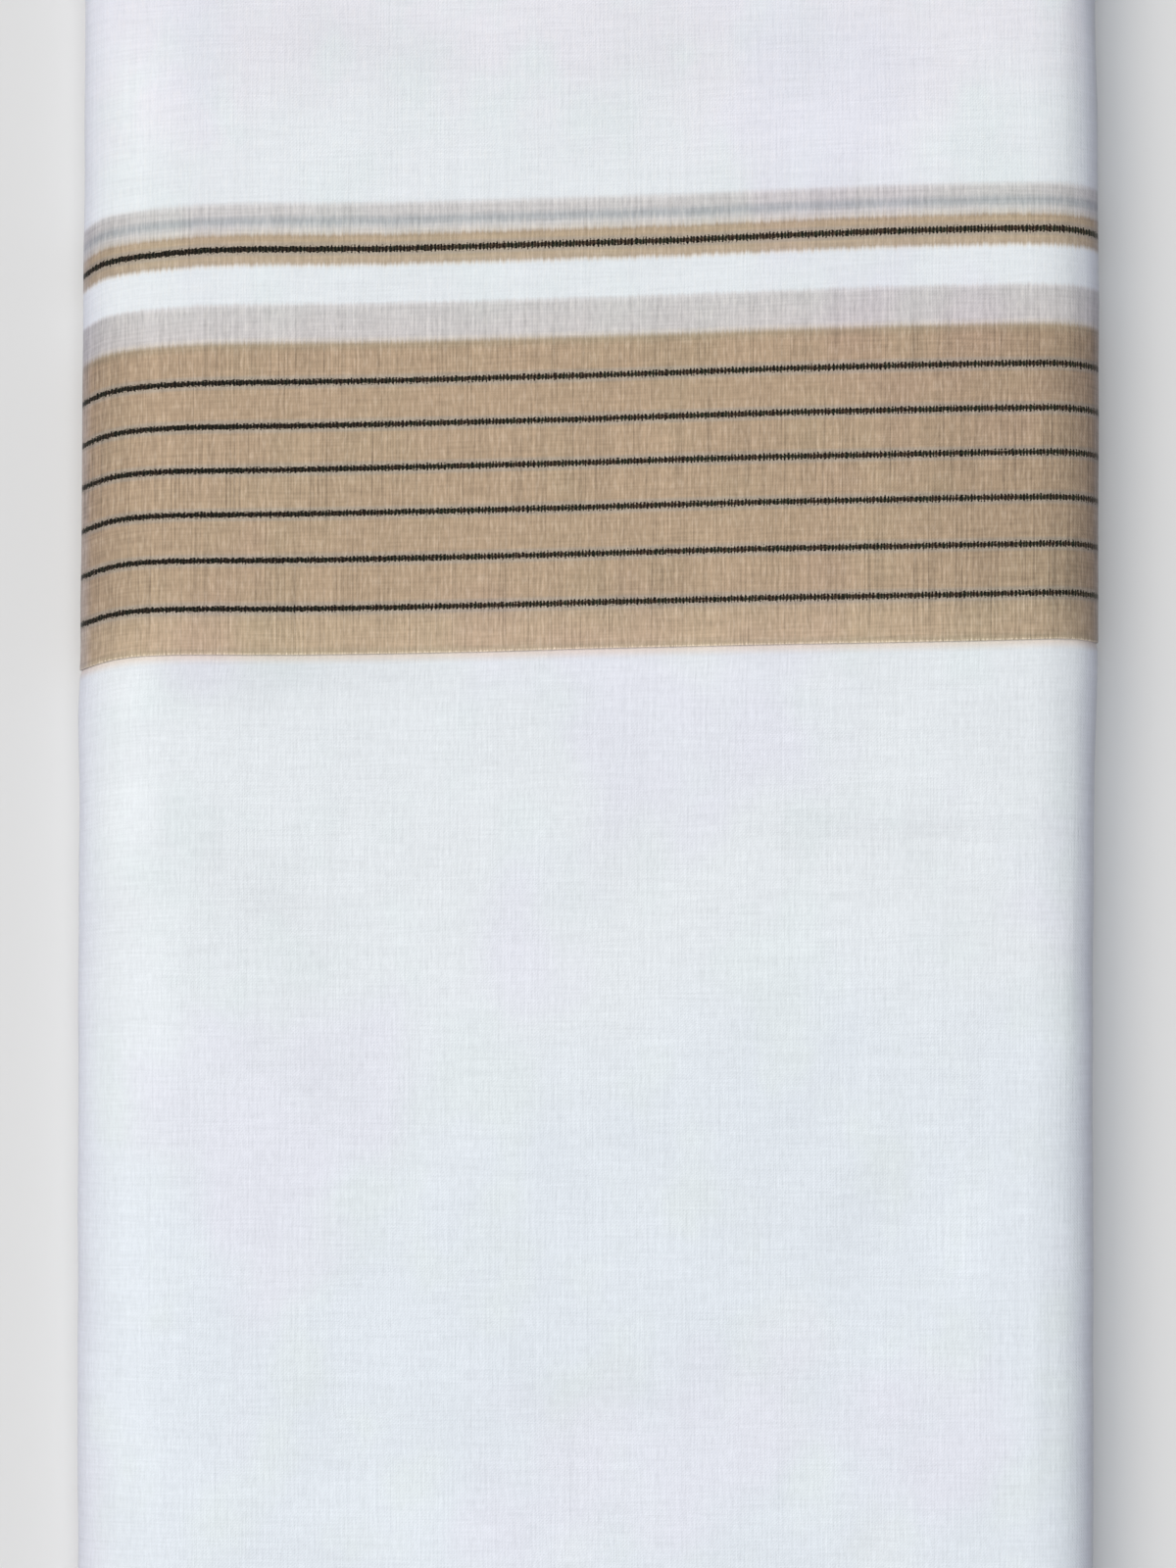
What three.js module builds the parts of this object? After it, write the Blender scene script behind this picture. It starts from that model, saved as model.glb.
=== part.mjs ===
// A dhoti cloth, folded and wound flat into a packet, lying front up.
// Millimetres, +Z up. X runs across the packet, Y along it towards the border's end,
// and the origin is on the surface that it lies on, under the middle of the packet.
//
// The cloth is one length. Its outer turn shows in two stretches: the plain stretch, which goes all
// round the packet, and the border stretch, the same cloth folded over the top end, which lies on
// the plain one as far as its selvedge. The turns inside share one solid, ridged at both ends.
// Every surface is the packet's round outline, drawn inwards by a depth, at stations along Y.

import * as THREE from 'three';

// Driving dimensions
const LENGTH = 424;          // the packet along Y
const SELVEDGE_Y = 0;        // where the border stretch ends on the front
const WALL = 1.0;            // one stretch of cloth, with the air pressed in with it
const SEAM_GAP = 0.3;        // clearance between one stretch and the next
const UNDER_CORNERS = 9;     // height of the corners that turn under, where the sides are widest
const CROWN = 0.6;           // how far the pressed front stands up in its middle
const FREE_EDGE_X = 34;      // the cloth's free end, on the underside
const TUCK_RAMP = 13;        // length over which the plain stretch dips under the border stretch
const FOLD_RETURN = 14;      // how far the plain stretch turns back inside at the bottom end
const SELVEDGE_RISE = 0.02;  // the selvedge climbs to the right by this much of its length
const LEFT_DROP = 3.4;       // and is drawn down by this much where it turns over the left side,
const LEFT_REACH = 5;        // which dies away over this distance across the front
const LEAN_REACH = 150;      // the lean of the cloth dies away this far from the selvedge

// The packet's outline along its length: half widths to either side, and the height of its front.
const SECTIONS = [
  { y: -212, left: 103.5, right: 102.8, top: 18.9 },
  { y: -188, left: 103.7, right: 103.0, top: 19.1 },
  { y: -60, left: 104.0, right: 103.1, top: 19.1 },
  { y: -12, left: 104.0, right: 103.3, top: 19.1 },
  { y: 0, left: 103.6, right: 104.0, top: 19.4 },
  { y: 80, left: 103.2, right: 104.0, top: 19.4 },
  { y: 132, left: 102.7, right: 103.4, top: 19.4 },
  { y: 212, left: 102.2, right: 103.0, top: 19.2 },
];

// The four rounded corners of a section, clockwise seen from the bottom end, starting underneath.
// Across is a corner's reach along X. The left side turns over in a broader round than the right.
const CORNERS = [
  { side: -1, across: 8, over: false, from: 270, to: 180, steps: 6 },
  { side: -1, across: 24, over: true, from: 180, to: 90, steps: 7 },
  { side: 1, across: 9, over: true, from: 90, to: 0, steps: 7 },
  { side: 1, across: 8, over: false, from: 360, to: 270, steps: 6 },
];
const FRONT_STEPS = 6;

// The folds that show at an end, from the outermost in: how far each stands back from the packet's
// end. Each stands for two turns of the cloth.
const BOTTOM_FOLDS = [{ back: 1.2 }, { back: 2.1 }, { back: 1.4 }, { back: 2.6 }, { back: 1.9 }];
const TOP_FOLDS = [{ back: 1.6 }, { back: 1.1 }, { back: 2.4 }, { back: 1.5 }, { back: 2.2 }];
const FOLD_PITCH = 1.2;      // the thickness of one of those folds
const FOLD_ROUND = 0.8;      // how far its round stands out
const FOLD_STEPS = 4;

const BORDER_DEPTH = WALL + SEAM_GAP;               // from the border stretch's face to the plain one's
const CORE_UNDER_BORDER = BORDER_DEPTH + WALL + SEAM_GAP;
const CORE_UNDER_PLAIN = WALL + SEAM_GAP;
const BOTTOM_FOLD_OUTER = 1.2;                      // radius of the plain stretch's fold, outside
const BOTTOM_FOLD_INNER = BOTTOM_FOLD_OUTER - WALL;
const CORE_INSIDE_RETURN = 2 * BOTTOM_FOLD_OUTER + SEAM_GAP;
const TOP_FOLD_OUTER = (BORDER_DEPTH + WALL) / 2;   // radius of the fold over the top end, outside
const TOP_FOLD_INNER = TOP_FOLD_OUTER - WALL;
const BOTTOM_END = -LENGTH / 2;
const TOP_END = LENGTH / 2;
const RAMP_TOP = SELVEDGE_Y - 1;                    // where the plain stretch starts to come up
const RAMP_FOOT = RAMP_TOP - TUCK_RAMP;             // and where it reaches the packet's face

// The outline's half widths and height at any y, along straight lines between the sections.
function sectionAt(y) {
  const next = SECTIONS.findIndex((section) => section.y >= y);
  if (next <= 0) return SECTIONS[Math.max(next, 0)];
  const [low, high] = [SECTIONS[next - 1], SECTIONS[next]];
  const share = (y - low.y) / (high.y - low.y);
  const mix = (name) => THREE.MathUtils.lerp(low[name], high[name], share);
  return { y, left: mix('left'), right: mix('right'), top: mix('top') };
}

// X of the middle of a corner's round.
function cornerMiddle(corner, section) {
  const half = corner.side < 0 ? section.left : section.right;
  return corner.side * (half - corner.across);
}

// A place on a corner's quarter ellipse, at an angle in degrees, drawn inwards by a depth.
function cornerPlace(corner, degrees) {
  const angle = THREE.MathUtils.degToRad(degrees);
  return (section, depth) => {
    const tall = corner.over ? section.top - UNDER_CORNERS : UNDER_CORNERS;
    return {
      x: cornerMiddle(corner, section) + Math.cos(angle) * (corner.across - depth),
      z: UNDER_CORNERS + Math.sin(angle) * (tall - depth),
    };
  };
}

// A place on the front between the two upper corners, at a share of the way across.
function frontPlace(share) {
  return (section, depth) => ({
    x: THREE.MathUtils.lerp(cornerMiddle(CORNERS[1], section), cornerMiddle(CORNERS[2], section), share),
    z: section.top + CROWN * Math.sin(Math.PI * share) - depth,
  });
}

// A place on the flat underside.
function underPlace(x) {
  return (section, depth) => ({ x, z: depth });
}

// The places round a section, from under its left corner over the front to under its right one.
function outlinePlaces() {
  const places = [];
  CORNERS.forEach((corner, index) => {
    for (let step = 0; step <= corner.steps; step += 1) {
      const repeatsLast = step === 0 && (index === 1 || index === 3);
      if (!repeatsLast) {
        places.push(cornerPlace(corner, THREE.MathUtils.lerp(corner.from, corner.to, step / corner.steps)));
      }
    }
    if (index === 1) {
      for (let step = 1; step < FRONT_STEPS; step += 1) places.push(frontPlace(step / FRONT_STEPS));
    }
  });
  return places;
}

// The same places with the cloth's free end and the edge it meets, for a stretch that is open there.
function wrapPlaces() {
  return [underPlace(FREE_EDGE_X - SEAM_GAP), ...outlinePlaces(), underPlace(FREE_EDGE_X)];
}

// Points of a round in the profile's plane, about a middle, for angles from the Y axis in degrees.
function arc(middleY, middleDepth, radius, from, to, steps) {
  return Array.from({ length: steps + 1 }, (_, step) => {
    const angle = THREE.MathUtils.degToRad(THREE.MathUtils.lerp(from, to, step / steps));
    return { y: middleY + radius * Math.cos(angle), depth: middleDepth + radius * Math.sin(angle) };
  });
}

// A straight run in the profile's plane with a point at every section between its ends.
function run(from, to) {
  const between = SECTIONS.filter(({ y }) => (y - from.y) * (y - to.y) < 0);
  if (to.y < from.y) between.reverse();
  const depthAt = (y) => THREE.MathUtils.mapLinear(y, from.y, to.y, from.depth, to.depth);
  return [from, ...between.map(({ y }) => ({ y, depth: depthAt(y) })), to];
}

// How far the cloth leans along Y at a place on the outline, by the run of its selvedge there. Over
// the front the selvedge climbs and has its drop at the left; underneath it runs straight back.
function lean({ x, z }, section) {
  const climb = (across) => SELVEDGE_RISE * across - LEFT_DROP * Math.exp(-(across + section.left) / LEFT_REACH);
  if (z >= UNDER_CORNERS) return climb(x);
  return THREE.MathUtils.mapLinear(x, -section.left, section.right, climb(-section.left), climb(section.right));
}

// The points of a profile of { y, depth } at every place round the packet, one ring for each.
function ringsAlong(profile, places) {
  return profile.map(({ y, depth }) => {
    const section = sectionAt(y);
    const fade = Math.max(0, 1 - Math.abs(y - SELVEDGE_Y) / LEAN_REACH);
    return places.map((place) => {
      const leaning = lean(place(section, 0), section) * fade;
      return { ...place(section, depth), y: y + leaning };
    });
  });
}

// Two triangles for each four-cornered cell between neighbouring rings and neighbouring places.
// A count of cells equal to the count of rings, or of places, joins the last to the first.
function cells(ringCells, placeCells, index) {
  const faces = [];
  for (let ring = 0; ring < ringCells; ring += 1) {
    for (let place = 0; place < placeCells; place += 1) {
      faces.push([index(ring, place), index(ring, place + 1), index(ring + 1, place + 1)]);
      faces.push([index(ring, place), index(ring + 1, place + 1), index(ring + 1, place)]);
    }
  }
  return faces;
}

// A wall between an outer and an inner profile of as many points each, carried round the packet from
// the cloth's free end to the edge that it meets, with a flat strip across the wall at both.
function carriedWall(outer, inner) {
  const places = wrapPlaces();
  const rings = ringsAlong([...outer, ...inner.toReversed()], places);
  const index = (ring, place) => (ring % rings.length) * places.length + place;
  const faces = cells(rings.length, places.length - 1, index);
  const across = (ring) => rings.length - 1 - ring;
  const last = places.length - 1;
  for (let ring = 0; ring < outer.length - 1; ring += 1) {
    const [a, b, c, d] = [ring, ring + 1, across(ring + 1), across(ring)];
    faces.push([index(a, 0), index(b, 0), index(c, 0)], [index(a, 0), index(c, 0), index(d, 0)]);
    faces.push([index(a, last), index(c, last), index(b, last)]);
    faces.push([index(a, last), index(d, last), index(c, last)]);
  }
  return facesOut(rings.flat(), faces);
}

// A solid whose profile is carried all round the packet, with a flat face inside its first and its
// last ring.
function carriedSolid(profile) {
  const places = outlinePlaces();
  const rings = ringsAlong(profile, places);
  const index = (ring, place) => ring * places.length + (place % places.length);
  const faces = cells(rings.length - 1, places.length, index);
  const last = rings.length - 1;
  for (let place = 1; place < places.length - 1; place += 1) {
    faces.push([index(0, 0), index(0, place + 1), index(0, place)]);
    faces.push([index(last, 0), index(last, place), index(last, place + 1)]);
  }
  return facesOut(rings.flat(), faces);
}

// A geometry of the points and triangles, all turned round together if they enclose less than nothing.
function facesOut(points, faces) {
  const corner = (i) => new THREE.Vector3(points[i].x, points[i].y, points[i].z);
  const volume = faces.reduce((sum, [a, b, c]) => sum + corner(a).dot(corner(b).cross(corner(c))), 0);
  const turned = volume < 0 ? faces.map(([a, b, c]) => [a, c, b]) : faces;
  const geometry = new THREE.BufferGeometry();
  const positions = points.flatMap(({ x, y, z }) => [x, y, z]);
  geometry.setAttribute('position', new THREE.Float32BufferAttribute(positions, 3));
  geometry.setIndex(turned.flat());
  geometry.computeVertexNormals();
  return geometry;
}

// The border stretch: flat from its selvedge to the top end, where it folds over and turns inside.
function borderStretch() {
  const foldY = TOP_END - TOP_FOLD_OUTER;
  const rail = (depth, radius) => [
    ...run({ y: SELVEDGE_Y, depth }, { y: foldY - 1, depth }),
    ...arc(foldY, TOP_FOLD_OUTER, radius, -90, 90, FOLD_STEPS),
  ];
  return carriedWall(rail(0, TOP_FOLD_OUTER), rail(WALL, TOP_FOLD_INNER));
}

// The plain stretch: it lies inside the border stretch, comes up to the packet's face past the
// selvedge, and at the bottom end folds and turns back inside.
function plainStretch() {
  const topY = TOP_END - TOP_FOLD_OUTER - SEAM_GAP;
  const foldY = BOTTOM_END + BOTTOM_FOLD_OUTER;
  const returnY = BOTTOM_END + FOLD_RETURN;
  const rail = (inwards, radius, returnDepth) => [
    ...run({ y: topY, depth: BORDER_DEPTH + inwards }, { y: RAMP_TOP, depth: BORDER_DEPTH + inwards }),
    ...run({ y: RAMP_FOOT, depth: inwards }, { y: foldY + 1, depth: inwards }),
    ...arc(foldY, BOTTOM_FOLD_OUTER, radius, 270, 90, FOLD_STEPS),
    { y: returnY, depth: returnDepth },
  ];
  const middle = BOTTOM_FOLD_OUTER;
  return carriedWall(
    rail(0, BOTTOM_FOLD_OUTER, middle + BOTTOM_FOLD_OUTER),
    rail(WALL, BOTTOM_FOLD_INNER, middle + BOTTOM_FOLD_INNER),
  );
}

// The ridges at one end, from the outermost in: half rounds a pitch apart.
function endRidges(folds, endY, direction, outerDepth) {
  return folds.flatMap(({ back }, fold) =>
    Array.from({ length: FOLD_STEPS }, (_, step) => {
      const share = step / FOLD_STEPS;
      const foot = endY - direction * (back + FOLD_ROUND);
      return {
        y: foot + direction * FOLD_ROUND * Math.sin(Math.PI * share),
        depth: outerDepth + FOLD_PITCH * (fold + share),
      };
    }),
  );
}

// The turns inside: one solid, clear of the two stretches by the seam gap, ridged at both ends.
function innerTurns() {
  const returnY = BOTTOM_END + FOLD_RETURN;
  const topShoulderY = TOP_END - TOP_FOLDS[0].back - FOLD_ROUND - 1;
  const profile = [
    ...endRidges(BOTTOM_FOLDS, BOTTOM_END, -1, CORE_INSIDE_RETURN).reverse(),
    { y: returnY + 1, depth: CORE_INSIDE_RETURN },
    ...run({ y: returnY + 6, depth: CORE_UNDER_PLAIN }, { y: RAMP_FOOT, depth: CORE_UNDER_PLAIN }),
    ...run({ y: RAMP_TOP, depth: CORE_UNDER_BORDER }, { y: topShoulderY, depth: CORE_UNDER_BORDER }),
    ...endRidges(TOP_FOLDS, TOP_END, 1, CORE_UNDER_BORDER),
  ];
  return carriedSolid(profile);
}

function cloth(name, geometry, color) {
  const material = new THREE.MeshStandardMaterial({ color, roughness: 0.9, metalness: 0 });
  const mesh = new THREE.Mesh(geometry, material);
  mesh.name = name;
  return mesh;
}

const dhoti = new THREE.Group();
dhoti.add(cloth('inner_turns', innerTurns(), '#dfe3ea'));
dhoti.add(cloth('plain_stretch', plainStretch(), '#e6ebf2'));
dhoti.add(cloth('border_stretch', borderStretch(), '#c9b08f'));

export default dhoti;
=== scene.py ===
"""A white cotton dhoti with a tan border, pressed and wound flat, lying front up on a pale floor.

Metres, +Z up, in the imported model's frame: X across the packet, Y along it, the selvedge near Y = 0.
The cloth is one length. Its outer turn shows as a plain stretch all round the packet and a border
stretch that lies on it from the selvedge to the top end; the turns inside are one wound ribbon of
three layers, whose folded edges show at both ends. Every surface is the packet's round outline,
drawn inwards by a depth, and every vertex carries its place in the cloth, in metres, as its UV:
U round the packet and V along it, from the selvedge.
"""

import bpy
import numpy as np
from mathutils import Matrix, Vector


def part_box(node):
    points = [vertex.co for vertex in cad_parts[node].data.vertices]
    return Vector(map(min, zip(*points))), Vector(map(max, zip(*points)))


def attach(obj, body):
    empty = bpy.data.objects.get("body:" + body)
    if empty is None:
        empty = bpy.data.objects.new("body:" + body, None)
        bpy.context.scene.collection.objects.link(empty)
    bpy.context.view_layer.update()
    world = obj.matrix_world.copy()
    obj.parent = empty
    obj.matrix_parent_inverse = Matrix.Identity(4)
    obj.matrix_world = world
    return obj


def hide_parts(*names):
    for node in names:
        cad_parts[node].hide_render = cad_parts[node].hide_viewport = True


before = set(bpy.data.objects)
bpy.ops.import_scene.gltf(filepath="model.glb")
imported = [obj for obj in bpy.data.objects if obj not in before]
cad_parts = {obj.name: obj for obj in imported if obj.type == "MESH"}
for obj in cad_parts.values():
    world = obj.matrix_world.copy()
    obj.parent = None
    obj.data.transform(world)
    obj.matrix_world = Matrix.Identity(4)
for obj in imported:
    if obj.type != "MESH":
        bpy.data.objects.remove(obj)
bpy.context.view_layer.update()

MM = 0.001

# The packet, from the frame
_, border_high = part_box("border_stretch")
plain_low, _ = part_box("plain_stretch")
BOTTOM_END = plain_low[1]
TOP_END = border_high[1]
CROWN = 0.6 * MM                         # how far the pressed front stands up in its middle
FRONT = border_high[2] - CROWN           # the front's height at the sides
MIDDLE = FRONT / 2                       # height of the widest place on the sides

# The cloth
CLOTH = 0.35 * MM                        # one layer
PRESSED = 0.07 * MM                      # air between two layers pressed together
LAYER = CLOTH + PRESSED
TURN = 1.55 * MM                         # from the packet's face to the turns inside
PITCH = 0.98 * MM                        # three layers of a turn inside, with their air
RIBBON = PITCH - 0.03 * MM               # the same without the air behind them
TURNS = 7.77                             # turns inside
FREE_SHARE = 0.68                        # where its free end is, as a share of the way across below
PASSING_SHARE = 0.03                     # how far past its own free end the turn runs before it dips
TUCKED_SHARE = 0.06                      # how far back from the free end it ends, dipped under it
TUCK = 1.05 * MM                         # and how far it dips to get there
DIP_STEPS = 8                            # steps of that dip,
DIP_HASTE = 3.2                          # which is over after one part in this many of its way
RETURN = 15 * MM                         # how far the plain stretch turns back inside at the bottom
CREASED_TO = -56 * MM                    # V down to which the plain stretch has the finer creases
RISE = 0.3 * MM                          # how far it stands up beside the selvedge that lies on it
RISE_FROM = 0.1 * MM                     # how far from the selvedge that starts
RISE_REACH = 1.6 * MM                    # and the length of that step
SINK_FROM = 10 * MM                      # how far from the selvedge it starts to sink again
SINK_REACH = 20 * MM                     # and the length of that step
SETTLE_FROM = 2 * MM                     # how far from the selvedge it starts to settle, underneath
SETTLE_REACH = 10 * MM                   # and the length of that step
SHORT_OF_TOP = 1.2 * MM                  # how far below the top end the plain stretch stops
TO_FOLD = 1 * MM                         # how far before a fold the straight cloth stops
SELVEDGE_CUT = 0.1 * MM                  # how much the selvedge's two corners take off its thickness
SELVEDGE_FULL = 0.15 * MM                # V from which it has its full thickness
FOLDED = 2 * LAYER - 0.09 * MM           # two layers inside, pressed together at their fold
GROOVE = 1 * MM                          # how far in the groove goes between a fold and a single edge
STRAIGHT_FROM = 12 * MM                  # how far in from their ends the turns inside run straight

# Half widths of the packet to the left and right of its middle, at places along Y, in millimetres.
SIDES = np.array(
    [
        (-212, 104.2, 103.0),
        (-188, 104.4, 103.4),
        (-150, 104.5, 103.4),
        (-60, 104.3, 103.4),
        (-14, 104.1, 103.7),
        (2, 103.4, 104.0),
        (60, 103.0, 104.1),
        (100, 102.6, 104.0),
        (132, 102.4, 103.5),
        (212, 101.9, 103.0),
    ],
    dtype=[("y", float), ("left", float), ("right", float)],
)

# How far a woven line is carried along Y at places across the front, in millimetres: at the selvedge,
# at the third dark line above it, and at the thin band's dark line.
GRAIN = np.array(
    [
        (-103.7, -4.3, -5.0, -6.3),
        (-101.3, -3.6, -4.05, -4.9),
        (-99.2, -2.95, -3.4, -3.75),
        (-96.2, -2.15, -2.6, -3.2),
        (-91.0, -1.5, -2.05, -2.55),
        (-84.0, -1.25, -1.75, -1.95),
        (-77.0, -1.2, -1.65, -1.45),
        (-69.0, -1.25, -1.55, -1.25),
        (-59.0, -1.25, -1.4, -1.25),
        (-40.0, -1.0, -1.0, -1.15),
        (-20.0, -0.6, -0.5, -0.6),
        (0.0, 0.0, 0.0, 0.0),
        (20.0, 0.45, 0.7, 0.6),
        (40.0, 0.9, 1.25, 1.6),
        (60.0, 1.25, 1.65, 2.4),
        (80.0, 1.65, 2.05, 2.95),
        (95.0, 2.05, 2.25, 3.1),
        (99.0, 2.0, 2.15, 2.9),
        (102.0, 1.6, 2.0, 2.55),
        (104.0, 1.4, 1.65, 2.3),
    ],
    dtype=[("across", float), ("selvedge", float), ("third", float), ("thin", float)],
)
GRAIN_AT = (0.0, 38.0 * MM, 82.0 * MM)   # V of those three lines
GRAIN_FADE = 120 * MM                    # beyond them the grain runs square again in this length
GRAIN_SMOOTH = 1.2 * MM                  # reach of the rounding of the table's corners


# Soft troughs and ridges, in millimetres and degrees: the middle of each, round the packet from the
# middle of its front and along Y; the turn of its long way from the first of these; its half length
# and half width; and its depth, less than nothing for a ridge.
CREASES = np.array(
    [
        # the front
        (-64, -7, 2, 24, 6, 0.52),
        (-91, -9, 82, 12, 4.5, -0.42),
        (-90, -31, 78, 9, 5, -0.34),
        (-64, -50, -40, 17, 9, 0.3),
        (-52, -90, -30, 14, 8, 0.14),
        (66, -37, 1, 34, 3.2, 0.24),
        (8, -38, 80, 14, 9, 0.16),
        (30, -64, 8, 40, 9, -0.1),
        (78, -122, 80, 14, 7, -0.36),
        (58, -113, 50, 12, 7, 0.26),
        (-2, -152, 10, 22, 8, 0.24),
        (-88, -75, 86, 20, 6, -0.22),
        (-91, -120, 90, 22, 5, -0.2),
        (-40, -176, -8, 40, 8, -0.14),
        (56, -181, 30, 5, 2.5, 0.26),
        (-52, 120, -3, 30, 8, 0.26),
        (14, 118, 4, 34, 8, 0.18),
        (-90, 104, 84, 16, 6, -0.3),
        (60, 104, 4, 30, 6, -0.16),
        (40, 160, 10, 42, 9, 0.2),
        (-50, 178, -14, 30, 8, 0.18),
        # long ridges and troughs beside the right edge
        (97.5, -70, 88, 45, 1.2, -0.2),
        (95.5, 20, 91, 34, 1.1, 0.2),
        (93, -150, 87, 40, 1.2, 0.2),
        (99, 70, 90, 36, 1.1, 0.22),
        (96, 130, 89, 30, 1.2, -0.18),
        # the sides
        (-112, -60, 84, 30, 3, 0.3),
        (-116, -140, 96, 24, 3, -0.25),
        (-114, 60, 90, 40, 3, 0.24),
        (-111, 160, 82, 22, 3, 0.28),
        (110, -110, 93, 34, 2.5, 0.28),
        (113, -20, 88, 26, 2.5, -0.22),
        (111, 90, 95, 36, 2.5, 0.26),
        (112, 180, 86, 18, 2.5, 0.24),
    ],
    dtype=[(name, float) for name in ("round", "along", "turn", "length", "width", "depth")],
)

# How the turns inside end, first at the top and then at the bottom: the way out along Y; how far in
# their folds lie, how far those wander, and over what length of cloth; how far in from the folds
# their single edges lie, with the same; all in millimetres; and the seeds of both wanderings.
ENDS = np.array(
    [
        (1, 1.3, 0.6, 260, 2.2, 0.9, 200, 11, 13),
        (-1, 1.4, 0.7, 300, 2.0, 0.9, 220, 12, 14),
    ],
    dtype=[("way", float)]
    + [(name, float) for name in ("folds_in", "folds_wander", "folds_over")]
    + [(name, float) for name in ("edges_in", "edges_wander", "edges_over")]
    + [("folds_seed", int), ("edges_seed", int)],
)

WAVES = 0.12 * MM                        # height of the long waves that pressing leaves in the cloth
PRESSED_PAINTED_SHADE = 0.15                     # painted shade: how much darker a millimetre's pressing paints the cloth, and a ridge lighter
EDGE_PAINTED_SHADE = (0.27, 0.4)                 # painted shade: how much darker the cloth is painted where it turns over, left and right
EDGE_REACH = (5.2 * MM, 3.6 * MM)        # and how far in from the sides that reaches

# ---------------------------------------------------------------- the packet's outline

class Places:
    """Places round the packet, in the order of a walk along the cloth.

    share is how far across from the left corners to the right ones, angle the place on a corner's
    round, 90 degrees on the front and 270 underneath, over whether it is on the upper half, and tuck
    how far in the cloth dips there.
    """

    def __init__(self, share, angle, over, tuck=0.0):
        self.share = np.asarray(share, float)
        self.angle = np.radians(np.asarray(angle, float))
        self.over = np.asarray(over, float)
        self.tuck = np.broadcast_to(np.asarray(tuck, float), self.share.shape)

    def joined(self, other):
        """This walk followed by another."""
        both = Places([], [], [])
        both.share = np.concatenate([self.share, other.share])
        both.angle = np.concatenate([self.angle, other.angle])
        both.over = np.concatenate([self.over, other.over])
        both.tuck = np.concatenate([self.tuck, other.tuck])
        return both


def eased(t):
    """Three t squared less two t cubed, held to 0 and 1 outside: a soft step."""
    t = np.clip(t, 0.0, 1.0)
    return t * t * (3.0 - 2.0 * t)


def walk(start, finish, front, corner, under):
    """Places of one turn, from a share of the underside round over the front and back underneath.

    front, corner and under are the counts of steps on each. A straight run has one angle and its
    share changes; a corner has one share and its angle changes.
    """
    runs = [
        (np.linspace(start, 0, max(2, round(under * start))), 270, 270, 0),
        (np.zeros(corner), 270, 180, 0),
        (np.zeros(corner), 180, 90, 1),
        (np.linspace(0, 1, front), 90, 90, 1),
        (np.ones(corner), 90, 0, 1),
        (np.ones(corner), 0, -90, 0),
        (np.linspace(1, finish, max(2, round(under * (1 - finish)))), -90, -90, 0),
    ]
    share = np.concatenate([run[0][:-1] for run in runs] + [[finish]])
    angle = [np.linspace(run[1], run[2], len(run[0]))[:-1] for run in runs]
    angle = np.concatenate(angle + [[-90.0]])
    over = np.concatenate([np.full(len(run[0]) - 1, run[3]) for run in runs] + [[0]])
    return Places(share, angle, over)


ACROSS_OVER = (26 * MM, 14 * MM)         # reach of the upper corners' rounds, left and right
ACROSS_UNDER = (9 * MM, 9 * MM)          # and of the lower ones'
LEAST_ACROSS = 0.4 * MM                  # what is left of that reach at the deepest turns


def sides_at(y):
    """Half widths to the left and right at each y, softly joined between the table's rows."""
    metres = SIDES["y"] * MM
    row = np.clip(np.searchsorted(metres, y) - 1, 0, len(metres) - 2)
    share = eased((y - metres[row]) / (metres[row + 1] - metres[row]))
    left, right = (
        (SIDES[name][row] * (1 - share) + SIDES[name][row + 1] * share) * MM
        for name in ("left", "right")
    )
    return left, right


def outline(places, y, depth, settle=0.0):
    """X and Z of places round the packet at each y, drawn inwards by a depth.

    A corner is a quarter ellipse about a middle: x = middle + cos(angle) (across - depth) and
    z = half height + sin(angle) (tall - depth). Between corners x goes from one middle to the other.
    settle lowers the underside only. The crown stretches z in the packet's middle.
    """
    left, right = sides_at(y)
    depth = depth + places.tuck
    reach = [
        np.maximum(places.over * over + (1 - places.over) * under, depth + LEAST_ACROSS)
        for over, under in zip(ACROSS_OVER, ACROSS_UNDER)
    ]
    middle_left = -(left - reach[0])
    middle_right = right - reach[1]
    across = np.where(places.share < 0.5, reach[0], reach[1])
    x = middle_left + (middle_right - middle_left) * places.share
    x = x + np.cos(places.angle) * (across - depth)
    under = np.clip(-np.sin(places.angle), 0, 1)
    z = MIDDLE + np.sin(places.angle) * (MIDDLE - depth) - settle * under
    return x, z * (1 + CROWN / FRONT * np.sin(np.pi * places.share))


def grain(places, v):
    """How far the cloth at V is carried along Y at each place.

    Across the front it follows the table, linearly in V between its three lines; round the sides it
    holds, and underneath it goes straight back to 0.3 of what it is at the right. It fades in a soft
    step beyond the lines.
    """
    x, z = outline(places, np.zeros_like(places.share), 0.0)
    round_length = np.concatenate([[0], np.cumsum(np.hypot(np.diff(x), np.diff(z)))])
    front = np.flatnonzero(places.over > 0)
    carried = []
    for name in ("selvedge", "third", "thin"):
        over_front = np.interp(x / MM, GRAIN["across"], GRAIN[name]) * MM
        at_left, at_right = over_front[front[0]], over_front[front[-1]]
        at_free_end = at_right * 0.3
        under = np.interp(
            round_length,
            [0, round_length[front[0]], round_length[front[-1]], round_length[-1]],
            [at_free_end, at_left, at_right, at_free_end],
        )
        line = np.where(places.over > 0, over_front, under)
        carried.append(smoothed(line, round_length, GRAIN_SMOOTH))
    rows = np.stack(carried)
    v = np.asarray(v)[..., None]
    low, mid, high = GRAIN_AT
    lower = rows[0] + (rows[1] - rows[0]) * np.clip((v - low) / (mid - low), 0, 1)
    all_lines = lower + (rows[2] - rows[1]) * np.clip((v - mid) / (high - mid), 0, 1)
    fade = 1 - eased((v - high) / GRAIN_FADE)
    fade_below = 1 - eased((low - v) / GRAIN_FADE)
    return all_lines * fade * fade_below


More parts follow.
